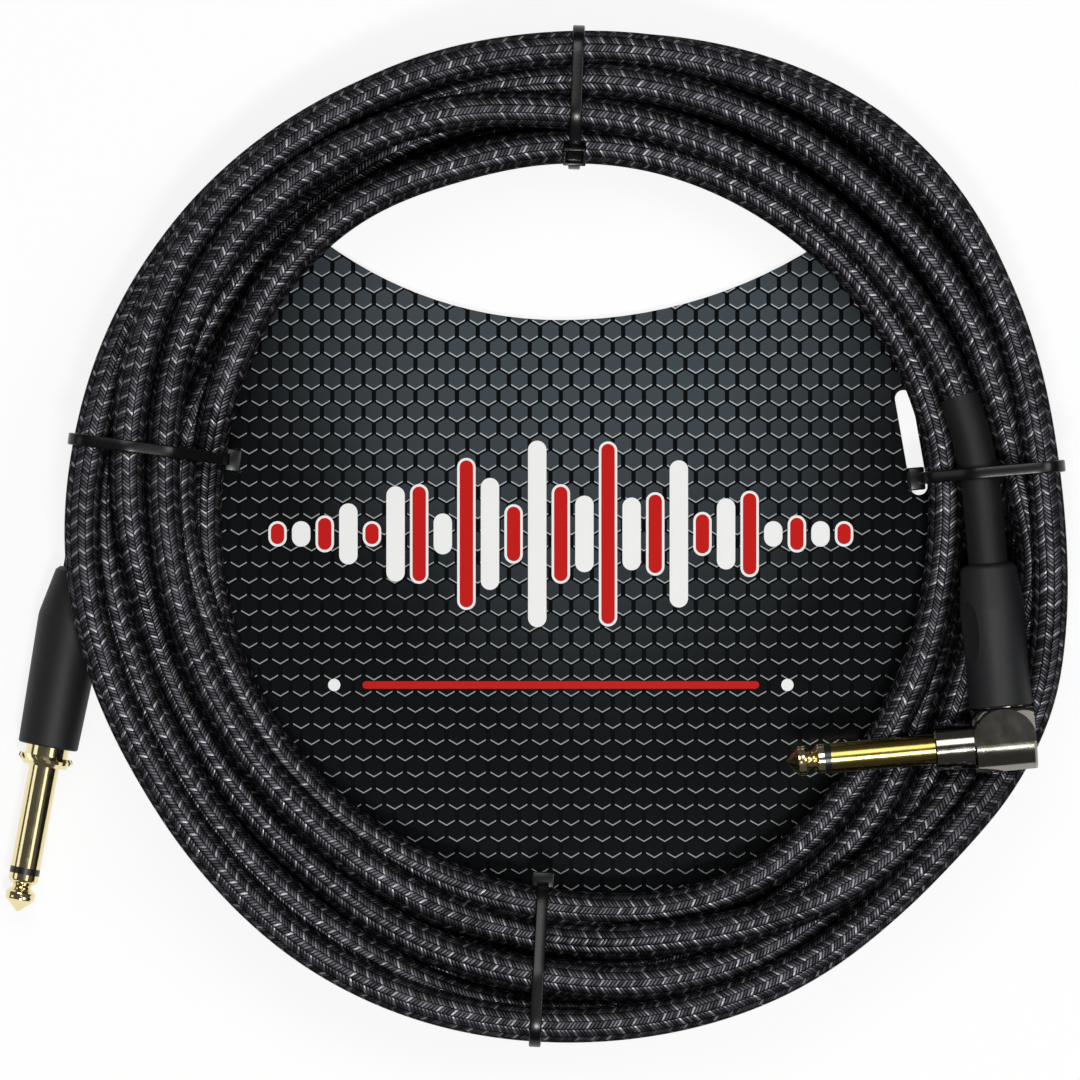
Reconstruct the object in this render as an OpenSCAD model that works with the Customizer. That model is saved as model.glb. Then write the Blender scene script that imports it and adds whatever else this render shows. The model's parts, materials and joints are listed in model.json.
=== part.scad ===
// Coiled instrument cable with one straight and one right-angle quarter-inch plug,
// tied to its display card. Millimetres. The coil lies flat, +Z is up and +Y is the
// top of the card. Angles named *_a run clockwise round the coil from +Y.

/* [Cord] */
// Outside diameter of the braided cord
cord_d = 7.5; // [6.5:0.1:8.5]

/* [Coil] */
// Inside radius of the coil
coil_inner_r = 76.5; // [74:0.5:90]
// Free width between neighbouring turns
lane_gap = 0.1; // [0.05:0.05:0.3]
// Turns that lie side by side
lane_count = 4; // [4:1:5]
// Height from one layer of turns to the next
layer_rise = 6.5; // [6:0.1:7]
// Where the last turn leaves the top layer
lead_join_a = 15; // [5:1:30]

/* [Plug shaft] */
// Diameter of the plug's sleeve
sleeve_d = 6.35; // [6.35:0.01:6.4]
// Length of the sleeve in front of its shoulder
sleeve_len = 21.8; // [20:0.1:23]
// Length of the insulating ring between sleeve and tip
ring_len = 1.4; // [1:0.1:2]
// Length of the tip
tip_len = 8; // [7:0.1:9]
// Radius of the tip's waist
waist_r = 1.95; // [1.8:0.05:2.3]
// Radius of the centre rod that carries the tip's signal
rod_r = 1.3; // [1.1:0.05:1.4]
// Outside radius of the tube that insulates the rod
insulator_r = 2.2; // [2:0.05:2.4]

/* [Screw joint] */
// Outside radius of the screw thread inside each casing
thread_r = 5; // [4.8:0.05:5.1]
// Length of the screw thread
thread_len = 5; // [4.9:0.1:6]
// How far a casing backs off as it unscrews
unscrew_travel = 4.8; // [4:0.1:4.8]

/* [Straight plug] */
// Diameter of the knurled flange
flange_d = 11.6; // [11:0.1:12.4]
// Thickness of the knurled flange
flange_t = 2.2; // [1.8:0.1:3]
// Slanted grooves round the flange
flange_grooves = 18; // [12:1:24]
// Radius of the neck behind the flange
neck_r = 4.5; // [4.2:0.1:4.7]
// Neck that shows between flange and shell
neck_len = 2; // [1.5:0.1:3]
// Length of the shell
shell_len = 38; // [36:0.5:42]
// Radius at the shell's front edge
shell_front_r = 6.35; // [6.2:0.05:6.8]
// Radius where the shell starts to taper
shell_kink_r = 7.05; // [6.9:0.05:7.4]
// Radius at the shell's rear end
shell_rear_r = 5.2; // [5.1:0.05:5.8]
// Length of the rear taper
shell_taper_len = 10.7; // [9:0.1:12]
// Tilt of the straight plug from the card's upright
straight_tilt = 10.5; // [6:0.5:12]
// Where the straight plug's rear end lies round the coil
straight_rear_a = 266.6; // [264:0.2:268]
// Bare wires between the screw thread and the cord's end
straight_wires_len = 12.2; // [11:0.1:13]

/* [Angled plug] */
// Width and depth of the square housing
housing_w = 13; // [12.6:0.1:13.4]
// Housing below the shaft's axis
housing_drop = 5.8; // [5.6:0.1:6.4]
// Housing above the shaft's axis, up to the boot
housing_rise = 7.5; // [7:0.1:8]
// Radius that the housing's boot end is turned to
housing_turn_r = 9.3; // [9:0.1:9.6]
// Radius of the round collar in front of the housing
collar_r = 4.75; // [4.3:0.05:5.2]
// Length of the round collar
collar_len = 8.1; // [6:0.1:10]
// Radius of the wiring chamber
chamber_r = 4; // [3.8:0.05:4.2]
// Length of the boot
boot_len = 30; // [29:0.5:33]
// Radius at the boot's front edge
boot_front_r = 6.7; // [6.5:0.05:7]
// Radius at the boot's waist
boot_waist_r = 6.55; // [6.5:0.05:6.8]
// Radius where the boot starts to taper
boot_kink_r = 6.85; // [6.7:0.05:7.2]
// Radius at the boot's rear end
boot_rear_r = 5.85; // [5.7:0.05:6.2]
// Length of the boot's rear taper
boot_taper_len = 9.5; // [9:0.1:10.5]
// Depth of the cord's end inside the boot
boot_cord_in = 18.5; // [18:0.1:19]
// Where the lead leaves its curve and runs straight into the boot
boot_lead_a = 84.9; // [83:0.1:87]
// Straight lead behind the boot
boot_lead_len = 12.7; // [12:0.1:16]

/* [Grips] */
// Depth of the finger dishes in shell and boot
dish_depth = 0.6; // [0.3:0.05:0.75]
// Radius that the finger dishes are cut to
dish_r = 40; // [30:1:60]
// Middle of the shell's dishes, behind its front edge
shell_dish_at = 17; // [15:0.5:19]
// Middle of the boot's dishes, behind its front edge
boot_dish_at = 15.5; // [14:0.5:17]
// Length of the split chuck in the shell
shell_chuck_len = 19.6; // [18:0.1:20]
// Length of the split chuck in the boot
boot_chuck_len = 15.1; // [14:0.1:15.5]

/* [Heat shrink] */
// Wall of the heat shrink sleeve
shrink_wall = 0.4; // [0.3:0.05:0.5]
// Where the heat shrink ends on the coil
shrink_end_a = 70; // [60:1:76]

/* [Card] */
// Thickness of the display card
card_t = 0.6; // [0.4:0.1:1]
// Radius of the card
card_r = 92; // [88:0.5:93]
// Radius of the hand scoop in the card's upper edge, right of its lowest point
scoop_r = 101; // [90:1:120]
// Radius of the hand scoop left of its lowest point
scoop_left_r = 84; // [80:1:89]
// Lowest point of the scoop above the coil's centre
scoop_low = 46.8; // [35:0.1:55]
// Width of the slots for the ties
slot_w = 3.6; // [2.8:0.1:4]
// Length of the slots for the ties
slot_len = 22.5; // [12:0.5:26]

/* [Ties] */
// Width of a tie's strap
strap_w = 2.5; // [2.2:0.1:3.5]
// Thickness of a tie's strap
strap_t = 1.1; // [0.9:0.1:1.3]
// Size of a tie's head across the strap
head_w = 4.6; // [4:0.1:5.4]
// Height of a tie's head
head_h = 5; // [4:0.1:6]
// Depth of a tie's head
head_t = 4.2; // [3.6:0.1:4.8]
// Radius of a loop's shoulders
loop_shoulder = 2.4; // [2:0.1:2.5]

/* [Clearances] */
// Free space between parts that are pressed together
seat_gap = 0.02; // [0.01:0.01:0.03]
// Free space between the screw threads
thread_gap = 0.08; // [0.04:0.01:0.1]
// Free space round a part that moves
moving_gap = 0.2; // [0.15:0.01:0.25]
// Free space between a tie and the cord inside it
tie_gap = 0.25; // [0.1:0.05:0.4]

/* [Hidden] */

$fn = 64;
wide_fn = 180;                            // facets of the widest circles
cut = 1;                                  // how far a cutting shape runs past a face

cord_r = cord_d / 2;
sleeve_r = sleeve_d / 2;
shank_r = sleeve_r - 0.2;                 // part of the sleeve that is pressed into the plug
ball_r = sleeve_r - 0.06;
shrink_r = cord_r + shrink_wall;

// coil
lane_pitch = cord_d + lane_gap;
function lane_r(i) = coil_inner_r + cord_r + i * lane_pitch;
coil_outer_r = lane_r(lane_count - 1) + cord_r;
card_top = strap_t + card_t;
function layer_z(k) = card_top + cord_r + k * layer_rise;
lower_top = layer_z(1) + cord_r;
coil_top = layer_z(2) + cord_r;
function polar(r, a) = [coil_x + r * sin(a), r * cos(a)];

// straight plug, whose own z axis runs out through the tip from the flange's front face
straight_z = shell_kink_r;
shell_front = -(flange_t + neck_len);
shell_rear = shell_front - shell_len;
shell_kink = shell_rear + shell_taper_len;
shell_bore_r = thread_r + 0.3;            // cavity behind the thread, clear of chuck and tags
shell_taper_r = shell_rear_r - 0.85;      // cavity at the back of the rear taper
shell_seat = shell_rear + 2;              // back wall of the cavity
straight_rear_r = coil_outer_r - shell_rear_r;
straight_dir = [-sin(straight_tilt), -cos(straight_tilt)];
shaft_len = sleeve_len + ring_len + tip_len;
shaft_nose_r = 0.6;
ball_at = sleeve_len + ring_len + 0.64 * tip_len;
thread_start = shell_front - 0.8;
thread_end = thread_start - thread_len;
washer_t = 1;
shell_dish_turn = 25;
boot_dish_turn = 125;
tag_t = 0.5;
tag_r = thread_r - 0.7;                   // ground tag
tongue_y = 1.9;                           // from the axis to the tip tag's tongue
straight_cord_end = thread_end - straight_wires_len;
tag_tongue = 6;                           // length of the tip tag's tongue
wire_lap = 0.3;                           // how far a wire lies along its tag

// the plug's tip and the coil reach equally far to the left and right of the origin
left_reach = -straight_rear_r * sin(straight_rear_a)
    - (ball_at - shell_rear) * straight_dir[0] + ball_r * cos(straight_tilt);
coil_x = (left_reach - coil_outer_r) / 2;
straight_at = polar(straight_rear_r, straight_rear_a) - shell_rear * straight_dir;

// pocket under the upper turns for the straight plug's shell
pocket_gap = 0.7;
pocket_half_w = shell_kink_r + pocket_gap;
pocket_end = shell_rear - unscrew_travel - 5;

// angled plug, whose own z axis runs out through the tip and y axis up through the boot
angled_z = lower_top + boot_kink_r + 0.25;
lead_r = lane_r(1) + 0.85;
boot_gap = 0.15;
boot_front = housing_rise + boot_gap;
boot_rear = boot_front + boot_len;
boot_kink = boot_rear - boot_taper_len;
boot_bore_r = boot_waist_r - 1.05;        // cavity behind the thread
boot_taper_r = boot_rear_r - 0.85;        // cavity at the back of the rear taper
boot_seat = boot_rear - 2;                // back wall of the cavity
chuck_play = 0.4;                         // room behind a chuck in its casing
lead_foot = boot_rear + boot_lead_len;
angled_turn = 90 - boot_lead_a;
angled_at = polar(lead_r, boot_lead_a) + lead_foot * [sin(angled_turn), -cos(angled_turn)];
angled_shoulder = housing_w / 2 + collar_len;
spigot_top = housing_rise + thread_len + 0.5;
angled_cord_end = boot_rear - boot_cord_in;
lead_rise_a = 45;                         // where the lead has climbed to the boot's height
lead_step = 5;

// ties
tie_in_r = coil_inner_r - tie_gap;
tie_out_r = coil_outer_r + tie_gap;
tie_low = strap_t;
tie_high = coil_top + tie_gap;
shrink_high = angled_z + shrink_r + tie_gap;
slot_r = tie_in_r - strap_t - tie_gap + slot_w / 2;   // a tie's inner leg stands in each slot
tie_top_a = 2;
tie_right_a = 80;
tie_bottom_a = 183;
tie_left_a = 282;

gold = "#d8b968";
nickel = "#c9c7c0";
soft_black = "#26282a";
cord_black = "#35333a";
tie_black = "#1b1b1d";
nylon = "#e4e0d2";

// ---------- helpers ----------

// points on an arc, both ends included
function arc(centre, r, from_a, to_a, steps = 8) = [
    for (k = [0 : steps])
        let (a = from_a + (to_a - from_a) * k / steps)
        centre + r * [cos(a), sin(a)]
];

// a ring of tube points round a route point, square to the route
function unit(v) = v / norm(v);
function heading(route, i) =
    i == 0 ? unit(route[1] - route[0])
    : i == len(route) - 1 ? unit(route[i] - route[i - 1])
    : unit(unit(route[i + 1] - route[i]) + unit(route[i] - route[i - 1]));
function tube_ring(route, i, r, sides) =
    let (t = heading(route, i), side = unit(cross(t, [0, 0, 1])), up = cross(side, t))
    [for (k = [0 : sides - 1]) route[i] + r * (cos(360 * k / sides) * side + sin(360 * k / sides) * up)];

// a plain round cord swept along a route
module cord_tube(route, r, sides = 12) {
    rings = len(route);
    points = [for (i = [0 : rings - 1]) each tube_ring(route, i, r, sides)];
    walls = [
        for (i = [0 : rings - 2]) for (k = [0 : sides - 1])
            let (n = (k + 1) % sides)
            [i * sides + k, i * sides + n, (i + 1) * sides + n, (i + 1) * sides + k]
    ];
    first = [for (k = [sides - 1 : -1 : 0]) k];
    last = [for (k = [0 : sides - 1]) (rings - 1) * sides + k];
    polyhedron(points = points, faces = concat([first], walls, [last]));
}

// a straight tube between two heights
module pipe(outer_r, inner_r, low, high) {
    translate([0, 0, low]) difference() {
        cylinder(r = outer_r, h = high - low);
        translate([0, 0, -cut]) cylinder(r = inner_r, h = high - low + 2 * cut);
    }
}

module place_straight() {
    translate([straight_at[0], straight_at[1], straight_z])
        rotate([0, 0, -straight_tilt]) rotate([90, 0, 0]) children();
}

module place_angled() {
    translate([angled_at[0], angled_at[1], angled_z])
        rotate([0, 0, angled_turn]) rotate([0, -90, 0]) children();
}

// turns a shape drawn up the z axis so that it runs up through the boot
module along_boot() {
    rotate([-90, 0, 0]) children();
}

// ---------- the shaft that both plugs share ----------

// tip with its centre rod, which runs back to rod_end
module shaft_tip(rod_end) {
    base = sleeve_len + ring_len;
    waist_low = base + 0.15 * tip_len;
    waist_end = ball_at - 0.12 * tip_len;
    groove = [
        for (k = [0 : 12])
            let (t = k / 12)
            [waist_r + (sleeve_r - waist_r) * pow(cos(180 * t), 2), waist_low + (waist_end - waist_low) * t]
    ];
    rotate_extrude() polygon(concat(
        [[0, base + shaft_nose_r], [0, rod_end], [rod_r, rod_end], [rod_r, base], [sleeve_r, base]],
        groove,
        [[ball_r - 0.04, ball_at - 0.4], [ball_r, ball_at], [ball_r - 0.04, ball_at + 0.3]],
        arc([0, base + tip_len - shaft_nose_r], shaft_nose_r, 45, 90)
    ));
}

module shaft_ring() {
    pipe(sleeve_r, rod_r + seat_gap, sleeve_len, sleeve_len + ring_len);
}

// sleeve in front of the shoulder, with a thinner shank that is pressed in behind it
module shaft_sleeve(rear) {
    color(gold) rotate_extrude() polygon([
        [insulator_r + seat_gap, rear], [shank_r, rear], [shank_r, 0],
        [sleeve_r, 0], [sleeve_r, sleeve_len], [insulator_r + seat_gap, sleeve_len]
    ]);
}

module shaft_insulator(rear) {
    pipe(insulator_r, rod_r + seat_gap, rear, sleeve_len);
}

// split jaws that grip the cord when the casing is screwed up
module chuck(grip_r, body_r, nose_r, front, shoulder, rear) {
    slits = 4;
    slit_w = 0.9;
    slit_share = 0.6;                     // of the chuck's length
    lead_in = 2;
    difference() {
        rotate_extrude() polygon([
            [grip_r, front], [grip_r, rear], [nose_r, rear], [body_r, shoulder],
            [body_r, front - lead_in], [body_r - 0.3, front]
        ]);
        for (k = [0 : slits - 1]) rotate([0, 0, k * 360 / slits])
            translate([0, -slit_w / 2, rear - cut])
                cube([body_r + cut, slit_w, (front - rear) * slit_share + cut]);
    }
}

// shallow oval finger dishes on two sides of a casing, at height z
module finger_dishes(surface_r, z, turn) {
    for (side = [0, 180]) rotate([0, 0, turn + side])
        translate([surface_r - dish_depth + dish_r, 0, z]) sphere(r = dish_r, $fn = 128);
}

// ---------- cord and coil ----------

// outline of one layer or stack of turns, cut across
module turns_outline(first_layer, last_layer) {
    last_lane = lane_count - 1;
    for (k = [first_layer : last_layer]) for (i = [0 : last_lane])
        translate([lane_r(i), layer_z(k)]) circle(r = cord_r);
    translate([lane_r(0), layer_z(first_layer)])
        square([lane_r(last_lane) - lane_r(0), (last_layer - first_layer) * layer_rise + 0.01]);
}

// where an upper turn starts, clear of the angled plug's shaft
function upper_start(r) =
    acos(-(lead_foot + housing_drop + 1) / (r - cord_r)) - angled_turn;
// where an upper turn ends, clear of the boot when it is backed off
function upper_end(r) =
    boot_lead_a + asin((boot_lead_len - unscrew_travel - 0.7) / r);

module upper_turn(i) {
    r = lane_r(i);
    end_a = i == 1 ? lead_join_a : upper_end(r);
    start_a = upper_start(r);
    rotate([0, 0, 90 - end_a]) rotate_extrude(angle = 360 + end_a - start_a, $fn = wide_fn)
        translate([r, layer_z(2)]) circle(r = cord_r);
}

module coil_bundle() {
    color(cord_black) difference() {
        translate([coil_x, 0, 0]) {
            rotate_extrude($fn = wide_fn) turns_outline(0, 1);
            for (i = [0 : lane_count - 1]) upper_turn(i);
            // filling between the second layer and the upper turns
            for (i = [0 : lane_count - 1]) upper_bed(i);
        }
        place_straight() translate([-pocket_half_w, -straight_z - cut, pocket_end])
            cube([2 * pocket_half_w, layer_z(2) - cord_r + 0.1 + cut, -pocket_end]);
    }
}

// cord under an upper turn, where it beds into the layer below
module upper_bed(i) {
    r = lane_r(i);
    end_a = i == 1 ? lead_join_a : upper_end(r);
    start_a = upper_start(r);
    bed_w = 0.5 * cord_r;
    rotate([0, 0, 90 - end_a]) rotate_extrude(angle = 360 + end_a - start_a, $fn = wide_fn)
        translate([r - bed_w / 2, layer_z(1)]) square([bed_w, layer_rise]);
}

function on_straight_axis(z) = concat(straight_at + z * straight_dir, [straight_z]);

module straight_lead() {
    color(cord_black) cord_tube(
        [for (z = [straight_cord_end, shell_rear, pocket_end]) on_straight_axis(z)], cord_r);
}

function on_boot_axis(y) =
    concat(angled_at + y * [-sin(angled_turn), cos(angled_turn)], [angled_z]);

// the last turn climbs out of the top layer, lies in the heat shrink and enters the boot
function lead_share(a) = min(1, max(0, (a - lead_join_a) / (lead_rise_a - lead_join_a)));
function ease(t) = t * t * (3 - 2 * t);
function lead_point(a) =
    let (t = ease(lead_share(a)))
    concat(
        polar(lane_r(1) + (lead_r - lane_r(1)) * t, a),
        [layer_z(2) + (angled_z - layer_z(2)) * t]);

// route points round the coil, from an angle up to the straight run into the boot
function lead_arc(from_a) =
    [for (a = [from_a : lead_step : boot_lead_a - lead_step / 2]) lead_point(a)];

module angled_lead() {
    color(cord_black) cord_tube(
        concat(lead_arc(lead_join_a), [for (y = [lead_foot, boot_rear, angled_cord_end]) on_boot_axis(y)]),
        cord_r);
}

// ---------- straight plug ----------

module straight_tip() {
    color(gold) place_straight() shaft_tip(thread_end - tag_t - washer_t - tag_t - 0.8);
}

module straight_tip_ring() {
    color(soft_black) place_straight() shaft_ring();
}

module straight_sleeve() {
    place_straight() shaft_sleeve(thread_end);
}

module straight_insulator() {
    color(nylon) place_straight() shaft_insulator(thread_end - tag_t);
}

// knurled flange, neck and screw thread, pressed onto the sleeve
module straight_collar() {
    bevel = 0.7;
    flange_r = flange_d / 2;
    color(gold) place_straight() difference() {
        rotate_extrude() polygon([
            [shank_r + seat_gap, thread_end], [shank_r + seat_gap, 0],
            [flange_r - 1.6 * bevel, 0], [flange_r, -flange_t + bevel],
            [flange_r - 0.3, -flange_t], [neck_r, -flange_t],
            [neck_r, thread_start], [thread_r, thread_start - 0.3],
            [thread_r, thread_end + 0.3], [thread_r - 0.3, thread_end]
        ]);
        for (k = [0 : flange_grooves - 1]) rotate([0, 0, k * 360 / flange_grooves])
            translate([flange_r, 0, -flange_t / 2]) rotate([35, 0, 0])
                cube([1, 0.8, 3 * flange_t], center = true);
    }
}

// ring under the collar with a tongue for the shield
module straight_ground_tag() {
    color(nickel) place_straight() {
        pipe(tag_r, insulator_r + seat_gap, thread_end - tag_t, thread_end);
        translate([-1.5, -tag_r, thread_end - 7.5]) cube([3, tag_t, 7.5]);
    }
}

module straight_washer() {
    color(nylon) place_straight()
        pipe(thread_r - 1.3, rod_r + seat_gap, thread_end - tag_t - washer_t, thread_end - tag_t);
}

// round plate riveted by the rod's end, with a tongue for the inner conductor
module straight_tip_tag() {
    tag_top = thread_end - tag_t - washer_t;
    color(gold) place_straight() {
        pipe(2.6, rod_r + seat_gap, tag_top - tag_t, tag_top);
        translate([-1.3, tongue_y, tag_top - tag_tongue]) cube([2.6, tag_t, tag_tongue]);
    }
}

module straight_signal_core() {
    core_r = 1;
    core_top = thread_end - tag_t - washer_t - tag_tongue + wire_lap;
    color(nylon) place_straight() translate([0, tongue_y - core_r, straight_cord_end])
        cylinder(r = core_r, h = core_top - straight_cord_end);
}

module straight_shield_braid() {
    braid_r = 0.7;
    color(nickel) place_straight()
        translate([0, tag_t + braid_r - tag_r, straight_cord_end])
            cylinder(r = braid_r, h = thread_end - 2.5 - straight_cord_end);
}

module straight_chuck() {
    color(nylon) place_straight() chuck(
        cord_r + moving_gap, shell_bore_r - moving_gap, shell_taper_r - moving_gap,
        shell_seat + chuck_play + shell_chuck_len, shell_kink, shell_seat + chuck_play);
}

module straight_shell() {
    lip = 0.5;
    color(soft_black) place_straight() difference() {
        rotate_extrude() polygon(concat(
            [[0, shell_rear], [shell_rear_r - 0.8, shell_rear], [shell_rear_r, shell_rear + 0.8],
             [shell_kink_r - 0.08, shell_kink - 0.7], [shell_kink_r, shell_kink + 0.3]],
            arc([shell_front_r - lip, shell_front - lip], lip, 0, 90),
            [[0, shell_front]]
        ));
        rotate_extrude() polygon([
            [0, shell_front + cut], [thread_r + thread_gap, shell_front + cut],
            [thread_r + thread_gap, thread_end - 0.6], [shell_bore_r, thread_end - 0.9],
            [shell_bore_r, shell_kink], [shell_taper_r, shell_seat],
            [cord_r + moving_gap + 0.1, shell_seat], [cord_r + moving_gap + 0.1, shell_rear - cut],
            [0, shell_rear - cut]
        ]);
        finger_dishes(shell_kink_r - 0.2, shell_front - shell_dish_at, shell_dish_turn);
    }
}

// ---------- angled plug ----------

module angled_tip() {
    color(gold) place_angled() translate([0, 0, angled_shoulder])
        shaft_tip(-angled_shoulder - 2.2);
}

module angled_tip_ring() {
    color(soft_black) place_angled() translate([0, 0, angled_shoulder]) shaft_ring();
}

module angled_sleeve() {
    place_angled() translate([0, 0, angled_shoulder])
        shaft_sleeve(chamber_r + 0.6 - angled_shoulder);
}

module angled_insulator() {
    color(nylon) place_angled() translate([0, 0, angled_shoulder])
        shaft_insulator(chamber_r - 0.3 - angled_shoulder);
}

module angled_collar() {
    edge = 0.3;
    low = housing_w / 2;
    color(nickel) place_angled() rotate_extrude() polygon([
        [shank_r + seat_gap, low], [collar_r, low],
        [collar_r, angled_shoulder - edge], [collar_r - edge, angled_shoulder],
        [shank_r + seat_gap, angled_shoulder]
    ]);
}

// square elbow, rounded about the shaft below its axis and turned round at its boot end,
// with the screw spigot for the boot
module angled_housing() {
    half = housing_w / 2;
    edge = 0.5;
    turn_centre = 0.5;
    color(nickel) place_angled() difference() {
        union() {
            intersection() {
                union() {
                    translate([-half, 0, -half]) cube([housing_w, housing_rise, housing_w]);
                    intersection() {
                        rotate_extrude() polygon([
                            [0, -half], [half - edge, -half], [half, edge - half],
                            [half, half - edge], [half - edge, half], [0, half]
                        ]);
                        translate([-half, -housing_drop, -half])
                            cube([housing_w, housing_drop + cut, housing_w]);
                    }
                }
                along_boot() {
                    translate([0, 0, -housing_drop - cut])
                        cylinder(r = housing_turn_r, h = housing_drop + cut + turn_centre, $fn = 128);
                    translate([0, 0, turn_centre]) sphere(r = housing_turn_r, $fn = 128);
                }
            }
            along_boot() cylinder(r = thread_r, h = spigot_top);
        }
        along_boot() translate([0, 0, -housing_drop + 2])
            cylinder(r = chamber_r, h = spigot_top + housing_drop);
        cylinder(r = shank_r + seat_gap, h = half + cut);
    }
}

// plate riveted by the rod's end, bent up towards the boot
module angled_tip_tag() {
    hole_r = rod_r + seat_gap;
    plate_w = 3.8;
    color(gold) place_angled() translate([0, 0, -1.7]) difference() {
        translate([-plate_w / 2, -2.2, 0]) cube([plate_w, spigot_top - 0.5 + 2.2, tag_t]);
        translate([0, 0, -cut]) cylinder(r = hole_r, h = tag_t + 2 * cut);
        translate([0, spigot_top - 2, -cut]) cylinder(r = 0.7, h = tag_t + 2 * cut);
    }
}

module angled_signal_core() {
    core_r = 1;
    color(nylon) place_angled() along_boot() translate([0, 1.2 - core_r, 6.5])
        cylinder(r = core_r, h = angled_cord_end - 6.5);
}

module angled_shield_braid() {
    braid_r = 0.8;
    color(nickel) place_angled() along_boot() translate([0, braid_r - chamber_r + 0.05, 9])
        cylinder(r = braid_r, h = angled_cord_end - 9);
}

module angled_chuck() {
    color(nylon) place_angled() along_boot() mirror([0, 0, 1]) chuck(
        shrink_r + moving_gap, boot_bore_r - moving_gap, boot_taper_r - moving_gap,
        boot_chuck_len + chuck_play - boot_seat, -boot_kink, chuck_play - boot_seat);
}

module angled_boot() {
    corner = 1.4;
    color(soft_black) place_angled() along_boot() difference() {
        rotate_extrude() polygon(concat(
            [[0, boot_front], [boot_front_r - 0.3, boot_front], [boot_front_r, boot_front + 0.3],
             [boot_waist_r, boot_front + 8], [boot_kink_r - 0.05, boot_kink - 2],
             [boot_kink_r, boot_kink], [boot_kink_r - 0.06, boot_kink + 0.9]],
            arc([boot_rear_r - corner, boot_rear - corner], corner, 6, 90),
            [[0, boot_rear]]
        ));
        rotate_extrude() polygon([
            [0, boot_front - cut], [thread_r + thread_gap, boot_front - cut],
            [thread_r + thread_gap, spigot_top + 0.3], [boot_bore_r, spigot_top + 0.6],
            [boot_bore_r, boot_kink], [boot_taper_r, boot_seat],
            [shrink_r + moving_gap + 0.1, boot_seat], [shrink_r + moving_gap + 0.1, boot_rear + cut],
            [0, boot_rear + cut]
        ]);
        finger_dishes(boot_kink_r - 0.2, boot_front + boot_dish_at, boot_dish_turn);
    }
}

// sleeve over the last of the lead, from inside the chuck to the coil
module angled_heat_shrink() {
    bore_r = cord_r + seat_gap;
    low = angled_cord_end + 2;
    route = concat(
        lead_arc(shrink_end_a), [for (y = [lead_foot, boot_rear, low]) on_boot_axis(y)]);
    bore_route = concat(
        [lead_point(shrink_end_a - 1)], route, [on_boot_axis(low - cut)]);
    color(soft_black) difference() {
        cord_tube(route, shrink_r, 24);
        cord_tube(bore_route, bore_r, 24);
    }
}

// ---------- card ----------

// long slot along the coil, with a tie standing near its end
module tie_slot(a, toward) {
    half = slot_len / 2 - slot_w;
    rotate([0, 0, -a]) translate([toward * half, slot_r, 0]) {
        square([slot_len - slot_w, slot_w], center = true);
        for (side = [-1, 1]) translate([side * (slot_len - slot_w) / 2, 0]) circle(d = slot_w);
    }
}

module display_card() {
    color(soft_black) translate([coil_x, 0, strap_t]) linear_extrude(card_t) difference() {
        circle(r = card_r, $fn = wide_fn);
        translate([0, scoop_low + scoop_left_r]) circle(r = scoop_left_r, $fn = wide_fn);
        intersection() {
            translate([0, scoop_low + scoop_r]) circle(r = scoop_r, $fn = wide_fn);
            square(card_r);
        }
        tie_slot(tie_right_a, -1);
        tie_slot(tie_bottom_a, 1);
        tie_slot(tie_left_a, 1);
    }
}

// ---------- ties ----------

// opening of a tie's loop, cut across the coil; it rises to crest_z over crest_r
module loop_opening(crest_r, crest_z) {
    polygon([
        [tie_in_r, tie_low], [tie_in_r, tie_high - loop_shoulder / 2],
        [tie_in_r + loop_shoulder / 2, tie_high],
        [crest_r - shrink_r, crest_z], [crest_r + shrink_r, crest_z],
        [tie_out_r - loop_shoulder, tie_high], [tie_out_r, tie_high - loop_shoulder],
        [tie_out_r, tie_low + loop_shoulder], [tie_out_r - loop_shoulder, tie_low]
    ]);
}

// square head with the pocket that the strap's end runs through; x = 0 is the loop's inner face
module tie_head() {
    wall = 0.8;
    floor_t = 1.2;
    difference() {
        translate([-head_t, -head_w / 2, 0]) cube([head_t, head_w, head_h]);
        translate([wall - head_t, -strap_w / 2, floor_t])
            cube([head_t - wall - strap_t, strap_w, head_h]);
    }
}

// strap round the coil, with its head in the place that the children take
module cable_tie(a, crest_r, crest_z) {
    color(tie_black) translate([coil_x, 0, 0]) rotate([0, 0, 90 - a]) {
        rotate([90, 0, 0]) linear_extrude(strap_w, center = true) difference() {
            offset(r = strap_t, $fn = 24) loop_opening(crest_r, crest_z);
            loop_opening(crest_r, crest_z);
        }
        children();
    }
}

// head that stands on the card inside the coil
module standing_head() {
    translate([tie_in_r, 0, card_top + 0.3]) tie_head();
}

// head that lies on top of the innermost turn
module lying_head() {
    translate([tie_in_r + 2, 0, tie_high]) rotate([0, 90, 0]) tie_head();
}

module tie_top() {
    cable_tie(tie_top_a, lane_r(1), tie_high) lying_head();
}

module tie_right() {
    cable_tie(tie_right_a, lead_r, shrink_high) standing_head();
}

module tie_bottom() {
    cable_tie(tie_bottom_a, lane_r(1), tie_high) standing_head();
}

module tie_left() {
    cable_tie(tie_left_a, lane_r(1), tie_high) standing_head();
}

coil_bundle();
straight_lead();
angled_lead();
straight_tip();
straight_tip_ring();
straight_sleeve();
straight_insulator();
straight_collar();
straight_ground_tag();
straight_washer();
straight_tip_tag();
straight_signal_core();
straight_shield_braid();
straight_chuck();
straight_shell();
angled_tip();
angled_tip_ring();
angled_sleeve();
angled_insulator();
angled_collar();
angled_housing();
angled_tip_tag();
angled_signal_core();
angled_shield_braid();
angled_chuck();
angled_boot();
angled_heat_shrink();
display_card();
tie_top();
tie_right();
tie_bottom();
tie_left();
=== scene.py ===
"""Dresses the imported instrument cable: its cord, plugs, display card and cable ties."""

import json
import logging
import math
from contextlib import contextmanager
from dataclasses import dataclass
from enum import Enum
from functools import partial
from typing import ClassVar, Iterator, Optional, Union

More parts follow.
